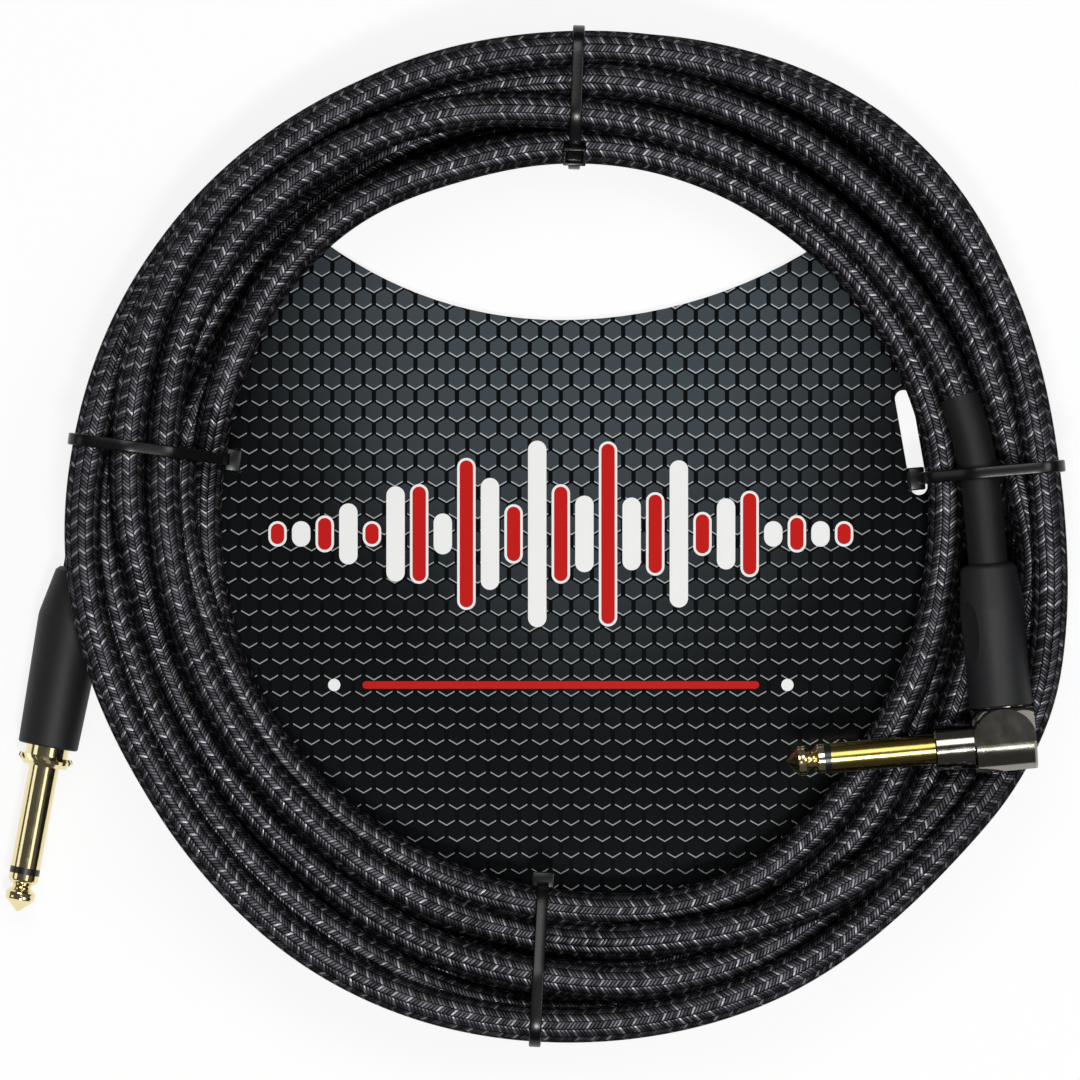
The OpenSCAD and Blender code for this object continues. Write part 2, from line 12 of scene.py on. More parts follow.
import bpy
import numpy as np
from mathutils.geometry import convex_hull_2d
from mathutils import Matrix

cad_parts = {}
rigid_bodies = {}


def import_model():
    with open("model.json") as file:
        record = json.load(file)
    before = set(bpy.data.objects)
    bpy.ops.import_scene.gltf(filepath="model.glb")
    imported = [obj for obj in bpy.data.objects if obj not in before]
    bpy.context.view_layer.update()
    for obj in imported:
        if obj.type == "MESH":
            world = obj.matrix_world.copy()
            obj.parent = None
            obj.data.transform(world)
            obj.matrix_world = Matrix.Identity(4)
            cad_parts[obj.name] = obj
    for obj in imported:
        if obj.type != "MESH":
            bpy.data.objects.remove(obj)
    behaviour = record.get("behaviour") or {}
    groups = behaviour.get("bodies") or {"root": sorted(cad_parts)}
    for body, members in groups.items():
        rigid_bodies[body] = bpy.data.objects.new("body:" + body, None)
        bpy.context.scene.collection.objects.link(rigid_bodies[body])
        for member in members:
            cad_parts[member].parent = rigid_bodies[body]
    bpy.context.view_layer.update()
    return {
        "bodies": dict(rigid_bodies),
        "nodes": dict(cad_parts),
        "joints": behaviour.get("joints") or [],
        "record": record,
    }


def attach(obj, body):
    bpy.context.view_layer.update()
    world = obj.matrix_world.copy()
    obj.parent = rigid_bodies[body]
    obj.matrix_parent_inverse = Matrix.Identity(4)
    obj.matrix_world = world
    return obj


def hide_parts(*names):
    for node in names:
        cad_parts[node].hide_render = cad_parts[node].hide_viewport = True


LOG = logging.getLogger("instrument_cable")
Tree, Node, Socket = bpy.types.NodeTree, bpy.types.Node, bpy.types.NodeSocket
Material, Object = bpy.types.Material, bpy.types.Object

MM = 0.001
COIL_X = 5.268
COIL_CENTRE = np.array([COIL_X, 0.0, 0.0])
CARD_TOP = 1.7
CORD_RADIUS = 3.75
# the last turn, where the shrunk tube lies on it
LEAD_RADIUS, LEAD_HEIGHT = 88.7, 22.8


# ---- colours and nodes

def linear(hex_colour: str) -> tuple[float, ...]:
    """Turn an sRGB hex colour to linear RGBA."""
    parts = [int(hex_colour[i:i + 2], 16) / 255 for i in (1, 3, 5)]
    values = [c / 12.92 if c <= 0.04045 else ((c + 0.055) / 1.055) ** 2.4 for c in parts]
    return (*values, 1.0)


def add_node(tree: Tree, kind: str, inputs: Optional[dict] = None,
             **settings: object) -> Node:
    """Add a node, set it up and feed it.

    Args:
        tree: The node tree.
        kind: Blender's name of the shader node, without its prefix.
        inputs: Input name or number to a constant, or to the socket that feeds it.
        settings: Attributes of the node.

    Returns:
        The node.
    """
    node = tree.nodes.new("ShaderNode" + kind)
    for name, value in settings.items():
        setattr(node, name, value)
    for name, value in (inputs or {}).items():
        if isinstance(value, Socket):
            tree.links.new(value, node.inputs[name])
        else:
            node.inputs[name].default_value = value
    return node


def calc(tree: Tree, operation: str, *values: Union[Socket, float]) -> Socket:
    """Work out one operation over sockets and numbers with a Math node."""
    return add_node(tree, "Math", dict(enumerate(values)), operation=operation).outputs[0]


def object_place(tree: Tree) -> Socket:
    """Add the place of a point, in metres in the shared frame."""
    return add_node(tree, "TexCoord").outputs["Object"]


def noise(tree: Tree, place: Socket, size_mm: float, detail: float) -> Socket:
    """Add a cloudy noise, as fine as its size says."""
    return add_node(tree, "TexNoise", {
        "Vector": place, "Scale": 1 / (size_mm * MM), "Detail": detail}).outputs["Fac"]


def share(tree: Tree, value: Socket, start: float, end: float, **settings: object) -> Socket:
    """Find how far a value has come from start to end, from 0 to 1."""
    return add_node(tree, "MapRange", {
        "Value": value, "From Min": start, "From Max": end}, **settings).outputs[0]


def blend(tree: Tree, factor: Socket, first: Union[Socket, tuple],
          second: Union[Socket, tuple]) -> Socket:
    """Mix two colours."""
    return add_node(tree, "Mix", {"Factor": factor, 6: first, 7: second},
                    data_type="RGBA").outputs[2]


def relief(tree: Tree, height: Socket, strength: float, depth_mm: float) -> Socket:
    """Bend the surface's normals over a height."""
    return add_node(tree, "Bump", {
        "Height": height, "Strength": strength, "Distance": depth_mm * MM}).outputs["Normal"]


def new_material(name: str) -> tuple[Material, Tree]:
    """Make an empty node material.

    Args:
        name: The material's name.

    Returns:
        The material and its node tree.
    """
    material = bpy.data.materials.new(name)
    material.use_nodes = True
    material.node_tree.nodes.clear()
    return material, material.node_tree


def close_surface(tree: Tree, shader: Node) -> None:
    """Link a shader to a new material output."""
    add_node(tree, "OutputMaterial", {"Surface": shader.outputs[0]})


def principled(tree: Tree, inputs: dict) -> None:
    """Close a material with one Principled shader."""
    close_surface(tree, add_node(tree, "BsdfPrincipled", inputs))


def assign(obj: Object, material: Material) -> None:
    """Put one material on every slot of an object."""
    if not obj.material_slots:
        obj.data.materials.append(material)
    for slot in obj.material_slots:
        slot.material = material


# ---- finishes

@dataclass(frozen=True)
class Moulding:
    """Matt moulded plastic or lacquer: a fine even grain breaks up the highlight."""

    name: str
    colour: str
    roughness: float
    grain_mm: float = 0.25
    grain_depth: float = 0.12
    mottle: float = 0.15  # share by which the colour wanders
    mottle_mm: float = 12.0
    specular: float = 0.5

    def material(self) -> Material:
        """Build the material."""
        material, tree = new_material(self.name)
        place = object_place(tree)
        dark, light = ((*(c * (1 + part) for c in linear(self.colour)[:3]), 1.0)
                       for part in (-self.mottle, self.mottle))
        colour = blend(tree, noise(tree, place, self.mottle_mm, 3.0), dark, light)
        grain = noise(tree, place, self.grain_mm, 2.0)
        principled(tree, {"Base Color": colour, "Roughness": self.roughness,
                          "Normal": relief(tree, grain, self.grain_depth, 0.1),
                          "Specular IOR Level": self.specular})
        return material


@dataclass(frozen=True)
class Plating:
    """Plated brass, polished first: nearly mirror bright, in soft ripples that bend reflections."""

    name: str
    colour: str
    roughness: float
    smear: float = 0.05  # roughness that finger marks add
    smear_mm: float = 3.0
    ripple_mm: float = 1.4
    ripple_depth: float = 0.12

    def material(self) -> Material:
        """Build the material."""
        material, tree = new_material(self.name)
        place = object_place(tree)
        marks = share(tree, noise(tree, place, self.smear_mm, 4.0), 0.3, 0.7)
        ripple = noise(tree, place, self.ripple_mm, 4.0)
        rough = calc(tree, "MULTIPLY_ADD", marks, self.smear, self.roughness)
        principled(tree, {"Base Color": linear(self.colour), "Metallic": 1.0, "Roughness": rough,
                          "Normal": relief(tree, ripple, self.ripple_depth, 0.1)})
        return material


@dataclass(frozen=True)
class BraidedTextile:
    """Textile braid of dark yarn with light picks, laid in herringbone columns."""

    name: str = "braided_textile"
    columns: int = 14  # half columns round the cord, 1.7 mm each
    pick_pitch: float = 0.8 * MM  # along the cord
    slant: float = 1.25  # pitches that a pick climbs across its column
    tracer_every: int = 4  # picks from one light tracer to the next
    tracer_weight: float = 0.45  # against chance, in a pick's tone
    satin: float = 0.42  # roughness of the fibres
    depth_mm: float = 0.11
    gap: str = "#070708"
    ground: str = "#313033"
    dull: str = "#535157"
    bright: str = "#98969d"

    @staticmethod
    def bulge(tree: Tree, part: Socket, power: float) -> Socket:
        """Round a share from 0 to 1 up to 1 at its middle."""
        off = calc(tree, "ABSOLUTE", calc(tree, "MULTIPLY_ADD", part, 2.0, -1.0))
        return calc(tree, "SUBTRACT", 1.0, calc(tree, "POWER", off, power))

    def yarn(self, tree: Tree, column: Socket, row: Socket) -> Socket:
        """Choose the tone of a pick.

        Args:
            tree: The node tree.
            column: The number of its column.
            row: Its number in the column.

        Returns:
            Its colour.
        """
        op = partial(calc, tree)
        key = add_node(tree, "CombineXYZ", {"X": column, "Y": row})
        chance = add_node(tree, "TexWhiteNoise", {"Vector": key.outputs[0]},
                          noise_dimensions="3D").outputs["Value"]
        # tracers of neighbouring columns meet as a zigzag round the cord
        every = 1 / self.tracer_every
        turn = op("FRACT", op("MULTIPLY_ADD", row, every, every / 2))
        tracer = op("LESS_THAN", turn, every)
        tone = op("MULTIPLY_ADD", chance, 1 - self.tracer_weight,
                  op("MULTIPLY", tracer, self.tracer_weight))
        yarn = add_node(tree, "ValToRGB", {"Fac": tone})
        ramp = yarn.color_ramp
        ramp.elements[0].position, ramp.elements[0].color = 0.1, linear(self.ground)
        ramp.elements[1].position, ramp.elements[1].color = 1.0, linear(self.bright)
        ramp.elements.new(0.5).color = linear(self.dull)
        return yarn.outputs["Color"]

    def material(self) -> Material:
        """Build the material on the cord's own UV map: round, and metres along."""
        material, tree = new_material(self.name)
        op = partial(calc, tree)
        uv = add_node(tree, "UVMap", uv_map="round_along").outputs["UV"]
        split = add_node(tree, "SeparateXYZ", {"Vector": uv})
        across = op("MULTIPLY", split.outputs["X"], self.columns)
        column = op("FLOOR", across)
        climb = op("MULTIPLY", op("PINGPONG", across, 1.0), self.slant)
        # each column starts half a pick after its neighbour
        start = op("MULTIPLY_ADD", column, 0.5, climb)
        phase = op("ADD", op("DIVIDE", split.outputs["Y"], self.pick_pitch), start)
        # a pick is a rounded ridge, thinner at its ends
        height = op("MULTIPLY", self.bulge(tree, op("FRACT", phase), 1.8),
                    self.bulge(tree, op("FRACT", across), 2.4))
        mask = share(tree, height, 0.0, 0.5, interpolation_type="SMOOTHSTEP")
        colour = blend(tree, mask, linear(self.gap), self.yarn(tree, column, op("FLOOR", phase)))
        # the fibres' satin lies on the crown of each turn, and its flanks stay dark
        principled(tree, {"Base Color": colour, "Roughness": self.satin, "Metallic": 0.9,
                          "Normal": relief(tree, height, 1.0, self.depth_mm),
                          "Specular IOR Level": 0.2, "Specular Tint": linear("#1c1c1c")})
        return material


@dataclass(frozen=True)
class PrintedCard:
    """Gloss print on board: slate hexagons with pale lower edges that fade into black, partly in
    the print and partly as painted shade.
    """

    name: str = "printed_card"
    pitch: float = 4.4 * MM  # between hexagons in a row
    row_pitch: float = 3.42 * MM
    apothem: float = 1.78 * MM
    line: float = 0.095 * MM  # half the width of a pale edge
    sine: float = 0.866  # of 60 degrees
    palest_x: float = 6 * MM  # where a row of slate is palest
    falloff: float = -14.0  # how it sinks to both sides, per metre, partly in the print and partly as painted shade
    fade_from: float = -35 * MM
    fade_to: float = 50 * MM
    black: str = "#060708"
    slate: str = "#40474c"
    pale: str = "#c3c8c9"

    def lattice(self, tree: Tree, place: Node, shift_x: float,
                shift_y: float) -> tuple[Socket, Socket, Socket]:
        """Fold a point into the nearest cell of one lattice.

        Args:
            tree: The node tree.
            place: The node that splits the point's place.
            shift_x: The lattice's offset across.
            shift_y: Its offset upwards.

        Returns:
            The point's place across and up in the cell, and its squared distance.
        """
        op = partial(calc, tree)
        across = op("WRAP", op("ADD", place.outputs["X"], shift_x),
                    self.pitch / 2, -self.pitch / 2)
        up = op("WRAP", op("ADD", place.outputs["Y"], shift_y), self.row_pitch, -self.row_pitch)
        return across, up, op("ADD", op("MULTIPLY", across, across), op("MULTIPLY", up, up))

    def hexagon(self, tree: Tree, place: Node) -> tuple[Socket, Socket]:
        """Draw the hexagons.

        Args:
            tree: The node tree.
            place: The node that splits a point's place.

        Returns:
            How far the point is inside a hexagon, and on a pale lower edge, from 0 to 1.
        """
        op = partial(calc, tree)
        first = self.lattice(tree, place, 0.0, 0.0)
        second = self.lattice(tree, place, self.pitch / 2, self.row_pitch)
        nearer = op("LESS_THAN", second[2], first[2])
        across, up = (op("MULTIPLY_ADD", nearer, op("SUBTRACT", two, one), one)
                      for one, two in zip(first[:2], second[:2]))
        across = op("ABSOLUTE", across)
        slope = op("MULTIPLY", op("ABSOLUTE", up), self.sine)
        reach = op("MAXIMUM", across, op("MULTIPLY_ADD", across, 0.5, slope))
        inside = share(tree, reach, self.apothem, self.apothem - 0.1 * MM)
        lower = op("MULTIPLY_ADD", across, 0.5, op("MULTIPLY", up, -self.sine))
        off_line = op("ABSOLUTE", op("SUBTRACT", lower, self.apothem))
        edge = share(tree, off_line, self.line + 0.05 * MM, self.line - 0.03 * MM)
        short = op("LESS_THAN", across, self.apothem - 0.08 * MM)
        return inside, op("MULTIPLY", edge, short)

    def material(self) -> Material:
        """Build the material on Object coordinates, which are metres from the frame's centre."""
        material, tree = new_material(self.name)
        op = partial(calc, tree)
        place = object_place(tree)
        centred = add_node(tree, "Mapping", {"Vector": place, "Location": (-COIL_X * MM, 0, 0)})
        split = add_node(tree, "SeparateXYZ", {"Vector": centred.outputs[0]})
        inside, stroke = self.hexagon(tree, split)
        height = op("MULTIPLY_ADD", noise(tree, place, 35, 2.0), 0.03, split.outputs["Y"])
        # the slate is palest at the top, a little right of the middle, and darker to both sides and
        # towards the bottom: partly the print's own gradient, partly painted shade standing in for
        # the strands' shadow on the card
        side = op("SUBTRACT", split.outputs["X"], self.palest_x)
        sunk = op("MULTIPLY_ADD", op("MULTIPLY", side, side), self.falloff, height)
        fade = share(tree, sunk, self.fade_from, self.fade_to, interpolation_type="SMOOTHSTEP")
        fill = op("MULTIPLY", inside, op("MULTIPLY_ADD", fade, 0.95, 0.04))
        board = blend(tree, fill, linear(self.black), linear(self.slate))
        # the pale edges dim with it, in the same mix of print and painted shade
        strength = op("MULTIPLY", stroke, op("MULTIPLY_ADD", fade, 0.25, 0.6))
        principled(tree, {"Base Color": blend(tree, strength, board, linear(self.pale)),
                          "Normal": relief(tree, noise(tree, place, 0.5, 2.0), 0.05, 0.05),
                          "Roughness": 0.12, "Specular IOR Level": 0.25})
        return material


SOFT_BLACK = Moulding("soft_touch_lacquer", "#151618", 0.55, grain_mm=0.2, grain_depth=0.08,
                      mottle=0.06, specular=0.35)
SHRINK_BLACK = Moulding("polyolefin_shrink_tube", "#0f0f10", 0.6, grain_mm=0.7, grain_depth=0.25,
                        specular=0.3)
TIE_NYLON = Moulding("moulded_black_nylon", "#08090a", 0.25, grain_mm=0.6, grain_depth=0.06,
                     specular=0.3)
WHITE_NYLON = Moulding("natural_nylon", "#d9d6cc", 0.4)
RING_BLACK = Moulding("black_acetal_ring", "#121110", 0.3)
# paler than the gold plate below; on the angled tip this paleness is a painted highlight
PALE_GOLD_AND_PAINTED_HIGHLIGHT = Plating("pale_gold_plate_and_painted_highlight", "#eedfae", 0.08)
GOLD = Plating("gold_plate", "#9f8e4f", 0.17)
NICKEL = Plating("nickel_plate", "#908c84", 0.1, ripple_mm=0.8, ripple_depth=0.06)
RED_INK = Moulding("red_gloss_ink", "#bb1511", 0.18, mottle=0.03, grain_depth=0.03,
                   specular=0.3)
WHITE_INK = Moulding("white_gloss_ink", "#e9e9e7", 0.2, mottle=0.02, grain_depth=0.03)


# ---- cord

class Level(float, Enum):
    """Height of a strand's centre in the coil, in mm."""

    LOW = 5.45
    MIDDLE = 11.95
    TOP = 18.45


def travelled(points: np.ndarray) -> np.ndarray:
    """Find how far along its line each point lies."""
    return np.concatenate([[0], np.cumsum(np.linalg.norm(np.diff(points, axis=0), axis=1))])


def bent(points: np.ndarray) -> np.ndarray:
    """Find the way from each inner point to the middle between its neighbours."""
    return (points[2:] + points[:-2]) / 2 - points[1:-1]


@dataclass
class Obstacle:
    """A straight round body that strands lie beside, in mm."""

    start: np.ndarray
    end: np.ndarray
    radius: float

    def push(self, points: np.ndarray, reach: float) -> np.ndarray:
        """Find how far points must move to lie outside.

        Args:
            points: Strand centres, one row each.
            reach: A strand's own radius.

        Returns:
            One move for each point.
        """
        axis = self.end - self.start
        along = np.clip((points - self.start) @ axis / (axis @ axis), 0, 1)
        away = points - (self.start + along[:, None] * axis)
        distance = np.linalg.norm(away, axis=1)
        depth = np.maximum(self.radius + reach - distance, 0)
        return away / np.maximum(distance, 1e-6)[:, None] * depth[:, None]


@dataclass
class CordCoil:
    """The braided cord, wound clockwise from the straight plug to the angled one, in mm."""

    radius: float = CORD_RADIUS
    gap: float = 0.05  # between strands that touch
    straight_at: ClassVar[np.ndarray] = np.array([-103.844, -47.519, 7.05])
    straight_dir: ClassVar[np.ndarray] = np.array([-0.18224, -0.98325, 0.0])
    angled_at: ClassVar[np.ndarray] = np.array([98.092, -42.266, 22.8])
    tip_dir: ClassVar[np.ndarray] = np.array([-0.99604, -0.08889, 0.0])
    boot_dir: ClassVar[np.ndarray] = np.array([-0.08889, 0.99604, 0.0])
    shell_end: float = 42.2  # from the straight plug's origin
    shell_exit: tuple = (22.2, 28, 34, 40, 46, 51)  # bends of the lead along the straight plug
    boot_entry: tuple = (50, 44, 38, 32, 26, 19.15)  # and along the angled one
    exit_drop: float = 0.2  # of the last bend behind the shell
    step: float = 3.0  # between points while the coil settles
    ring_step: float = 1.35  # between rings of the tube
    sides: int = 20
    rounds: int = 260  # small moves while the coil settles
    evening: int = 12  # smoothing moves after them
    held: tuple = (30, 110)  # lengths at both ends that keep their place
    upper_from: float = 17  # height of a strand that lies on others
    firmness: tuple = (0.25, 0.04)  # by which such a strand keeps its place, and a lower one
    plugged: tuple = (34, 112)  # lengths at both ends that may lie in the plugs' room
    pair_every: int = 12  # rounds from one search for near strands to the next
    pair_reach: float = 4.0
    pair_skip: int = 8  # points along the cord that aren't another strand
    # a strand pushed by another gives way mostly up and down, since the ties hold it sideways
    give: ClassVar[np.ndarray] = np.array([0.22, 0.22, 0.5])
    nudge: float = 0.05  # up or down, between strands that touch side by side
    crowding: float = 0.45  # by which a point's many touches share one move
    yielding: float = 0.5  # share of its way out of a plug, or into the bounds, per round
    sink: float = 0.03  # per round, for the first part of the rounds
    sinking_share: float = 0.7
    homing: float = 0.4  # pull of a held point to its place
    stiffness: float = 0.3
    # how far in and out a strand's centre may lie: degrees, nearest, farthest
    bounds: tuple = ((0, 83.6, 102.9), (15, 84.2, 105.8), (30, 84.2, 108.8), (40, 84.2, 109.8),
                     (50, 84.2, 108.5), (60, 83.8, 105.8), (75, 83.2, 102.4), (90, 80.9, 102.1),
                     (100, 80.4, 104.2), (110, 80, 105.2), (120, 79.8, 104.4), (130, 80.5, 102),
                     (150, 81.5, 102.9), (180, 77.3, 101.6), (200, 75.4, 101.6),
                     (210, 74.8, 100.8), (225, 74.8, 98.9), (240, 74.8, 98), (255, 75, 99.3),
                     (270, 75.4, 100.6), (285, 77, 101), (300, 79, 102), (315, 82.2, 102.4),
                     (330, 83.2, 102.4), (345, 82.2, 102.6), (360, 83.6, 102.9))

    @staticmethod
    def stations() -> np.ndarray:
        """List the bends of the route, turn by turn from the straight plug.

        Returns:
            One row for each: degrees clockwise from the top, radius and height.
        """
        low, mid, top = (level.value for level in Level)
        lead = (LEAD_RADIUS, LEAD_HEIGHT)
        # for each turn its height, then degrees and radius of every bend, and a height of its own
        turns = (
            (low, (285, 98), (300, 98.5), (315, 99.5), (330, 101), (345, 102.5)),
            (low, (0, 103.5), (60, 104.5), (120, 103), (180, 99), (225, 95), (255, 92),
             (285, 91.5), (300, 91), (315, 91.5), (330, 92.5), (345, 94)),
            (low, (0, 96.5), (60, 97), (120, 95.5), (180, 91.5), (225, 88), (255, 84.5), (285, 84),
             (315, 84), (330, 85), (345, 87)),
            (low, (0, 89), (60, 89.5), (120, 88), (150, 84), (180, 78), (210, 74), (240, 74.5),
             (255, 74.8, 6), (270, 75.2, 8), (285, 76.5, 12.5), (300, 79, 17.5), (315, 81.5, top),
             (330, 81.5, top), (345, 81, top)),
            (top, (0, 82.5), (30, 82), (60, 82), (90, 80.5), (105, 79), (120, 78.5), (135, 81),
             (150, 82.5), (165, 80.5), (180, 77), (195, 75), (210, 73.5, 16), (225, 74, 14),
             (240, 74.5, 14), (255, 76.5, 14.5), (270, 80, 14), (285, 83, 13), (300, 83, mid),
             (315, 83, mid), (345, 84, mid)),
            (mid, (0, 84.5), (30, 85.5), (60, 87), (90, 84.5), (105, 83), (120, 86), (135, 89.5),
             (150, 90.5), (180, 92.5), (240, 94), (270, 93), (285, 90), (300, 88), (330, 89),
             (345, 92)),
            (mid, (0, 95), (30, 98), (60, 96.5), (90, 91.5), (105, 90), (120, 92),
             (135, 94.5, 13.5), (150, 97, 17), (165, 95.5, top), (180, 92, top), (195, 90, top),
             (210, 88, 17), (225, 87, 14.5), (240, 86.5, 14.5), (255, 88, 17), (270, 90.5, top),
             (285, 94, 19), (300, 98.5, 19), (315, 101, 19), (330, 101.5, 19.5),
             (345, 102.5, 19.5)),
            (top, (0, 103.5), (15, 105), (30, 107), (45, 108), (60, 105.5), (75, 102.4), (90, 102),
             (105, 104.5), (120, 104.4), (135, 102), (150, 103), (180, 101.8), (210, 100.6),
             (225, 99.2, 20), (240, 98.4, 21), (255, 99.6, 21), (270, 100.5, 20), (285, 101, 15.5),
             (300, 102, 12.5), (330, 102, mid)),
            (mid, (0, 103.5), (15, 106.5), (30, 109.3), (45, 109.6), (60, 106.5), (75, 102.2),
             (90, 102), (105, 104.5), (120, 104), (135, 101.7), (150, 101.5), (165, 100, 12.5),
             (180, 98.5, 13.5), (195, 97, 15), (210, 95, 17), (225, 94, top), (240, 93, 19.5),
             (255, 94, top), (270, 95.5, 17.5), (285, 95.5, 14.5), (300, 95, 12.5),
             (330, 95.5, 12.5), (345, 96, 16)),
            (top, (0, 97), (30, 98), (60, 97.5), (75, 97), (90, 97, 15), (105, 97.3, mid),
             (120, 98, 14), (135, 96), (150, 91), (165, 86.5), (180, 84), (195, 81.8), (210, 80),
             (225, 79, 17), (240, 79.5, 17), (255, 81, top), (270, 83), (285, 86.5), (300, 91.5),
             (315, 94.2, 19.5), (330, 94.2, 19.5), (345, 93, 19.5)),
            (top, (0, 90.3), (15, 89.5, 19), (30, 88.9, 20.8), (45, *lead), (60, *lead),
             (75, *lead)))
        return np.array([(360.0 * number + degrees, radius, *(own or [height]))
                         for number, (height, *bends) in enumerate(turns)
                         for degrees, radius, *own in bends])

    @staticmethod
    def through(knots: np.ndarray, count: int) -> np.ndarray:
        """Draw a smooth line through knots.

        Args:
            knots: Points, one row each.
            count: Points wanted between two knots.

        Returns:
            The points of the line.
        """
        padded = np.vstack([2 * knots[0] - knots[1], knots, 2 * knots[-1] - knots[-2]])
        chord = np.linalg.norm(np.diff(padded, axis=0), axis=1) ** 0.5
        out = []
        part = np.linspace(0, 1, count, endpoint=False)[:, None]
        for i in range(1, len(padded) - 2):
            a, b, c, d = padded[i - 1:i + 3]
            ta, tb, tc = chord[i - 1], chord[i], chord[i + 1]
            left = ((b - a) / ta - (c - a) / (ta + tb) + (c - b) / tb) * tb
            right = ((c - b) / tb - (d - b) / (tb + tc) + (d - c) / tc) * tb
            out.append((2 * part ** 3 - 3 * part ** 2 + 1) * b
                       + (part ** 3 - 2 * part ** 2 + part) * left
                       + (3 * part ** 2 - 2 * part ** 3) * c + (part ** 3 - part ** 2) * right)
        return np.vstack(out + [knots[-1:]])

    @staticmethod
    def even(points: np.ndarray, step: float) -> np.ndarray:
        """Space points evenly along their line.

        Args:
            points: The line's points.
            step: Distance wanted between two.

        Returns:
            The evenly spaced points.
        """
        along = travelled(points)
        where = np.linspace(0, along[-1], int(round(along[-1] / step)) + 1)
        return np.stack([np.interp(where, along, points[:, i]) for i in range(3)], axis=1)

    def route(self) -> tuple[np.ndarray, np.ndarray]:
        """Lay the turns out between the two plugs.

        Returns:
            The route's points in mm, and for each how firmly it keeps its place, from 0 to 1.
        """
        rows = self.stations()
        grid = np.arange(rows[0, 0], rows[-1, 0] + 0.5, 1.5)
        # angles rise evenly, so radius and height are smoothed over them
        smooth = self.through(rows, 24)
        radius, height = (np.interp(grid, smooth[:, 0], smooth[:, k]) for k in (1, 2))
        turned = np.radians(grid)
        turns = COIL_CENTRE + np.stack(
            [radius * np.sin(turned), radius * np.cos(turned), height], axis=1)
        out_of_shell = np.array([self.straight_at - z * self.straight_dir
                                 for z in self.shell_exit])
        out_of_shell[-1, 2] -= self.exit_drop
        into_boot = np.array([self.angled_at + z * self.boot_dir for z in self.boot_entry])
        line = self.through(np.vstack([out_of_shell, turns[::4], into_boot]), 6)
        points = self.even(line, self.step)
        along = np.arange(len(points)) * self.step
        hold = np.where(points[:, 2] > self.upper_from, *self.firmness)
        hold[(along < self.held[0]) | (along > along[-1] - self.held[1])] = 1
        return points, hold

    def obstacles(self) -> list[Obstacle]:
        """List the plugs' bodies that the strands lie round, with room to screw them back."""
        shell, down = self.straight_at, self.straight_dir
        elbow, tip, boot = self.angled_at, self.tip_dir, self.boot_dir
        return [Obstacle(shell - 47 * down, shell - 4 * down, 7.2),
                Obstacle(shell - 4 * down, shell + 31 * down, 6.0),
                Obstacle(elbow + 8 * boot, elbow + 42 * boot, 7.2),
                Obstacle(elbow - 1 * boot, elbow + 4 * boot, 7.6),
                Obstacle(elbow, elbow + 15 * tip, 5.2),
                Obstacle(elbow, elbow + 46 * tip, 3.3)]

    @property
    def width(self) -> float:
        """Distance that two strands keep between their centres."""
        return 2 * self.radius + self.gap

    def part_strands(self, points: np.ndarray, home: np.ndarray, first: np.ndarray,
                     second: np.ndarray) -> np.ndarray:
        """Find how touching strands push each other away.

        Args:
            points: Strand centres.
            home: The same points as laid out.
            first: One point of each pair that may touch.
            second: The other point of each pair.

        Returns:
            One move for each point.
        """
        away = points[first] - points[second]
        distance = np.linalg.norm(away, axis=1)
        near = distance < self.width
        one, two, away = first[near], second[near], away[near]
        depth = (self.width - distance[near]) / np.maximum(distance[near], 1e-6)
        push = away * depth[:, None] * self.give
        push[:, 2] += np.where(np.abs(away[:, 2]) < 1.0,
                               np.sign(home[one, 2] - home[two, 2]) * self.nudge, 0)
        move = np.zeros_like(points)
        touches = np.zeros(len(points))
        for side, way in ((one, push), (two, -push)):
            np.add.at(move, side, way)
            np.add.at(touches, side, 1)
        return move / np.maximum(touches * self.crowding, 1)[:, None]

    def settle(self, points: np.ndarray, hold: np.ndarray) -> np.ndarray:
        """Let the turns sink onto each other until none lies in another.

        Args:
            points: The route as laid out.
            hold: How firmly each point keeps its place.

        Returns:
            The settled points.
        """
        home = points.copy()
        free = hold < 1
        obstacles = self.obstacles()
        table = np.array(self.bounds)
        along = np.arange(len(points)) * self.step
        plug_free = (along > self.plugged[0]) & (along < along[-1] - self.plugged[1])
        for number in range(self.rounds):
            if number % self.pair_every == 0:
                flat = points[:, :2]
                near = (((flat[:, None] - flat) ** 2).sum(axis=2)
                        < (self.width + self.pair_reach) ** 2)
                first, second = np.nonzero(np.triu(near, self.pair_skip))
            move = self.part_strands(points, home, first, second)
            move[:, 2] -= self.sink if number < self.rounds * self.sinking_share else 0.0
            move[:, :2] += (home - points)[:, :2] * hold[:, None] * self.homing
            bend = np.zeros_like(points)
            bend[1:-1] = bent(points)
            move[1:-1] -= self.stiffness * bent(bend)
            for obstacle in obstacles:
                move += obstacle.push(points, self.radius) * plug_free[:, None] * self.yielding
            out = points[:, :2] - COIL_CENTRE[:2]
            turned = np.degrees(np.arctan2(out[:, 0], out[:, 1])) % 360
            far = np.linalg.norm(out, axis=1)
            allowed = np.clip(far, *(np.interp(turned, table[:, 0], table[:, k]) for k in (1, 2)))
            move[:, :2] += out * ((allowed - far) / far * plug_free * self.yielding)[:, None]
            points = points + move * free[:, None]
            points[:, 2] = np.maximum(points[:, 2], CARD_TOP + self.radius)
        for _ in range(self.evening):
            points[1:-1] += 0.5 * bent(points) * free[1:-1, None]
        return points

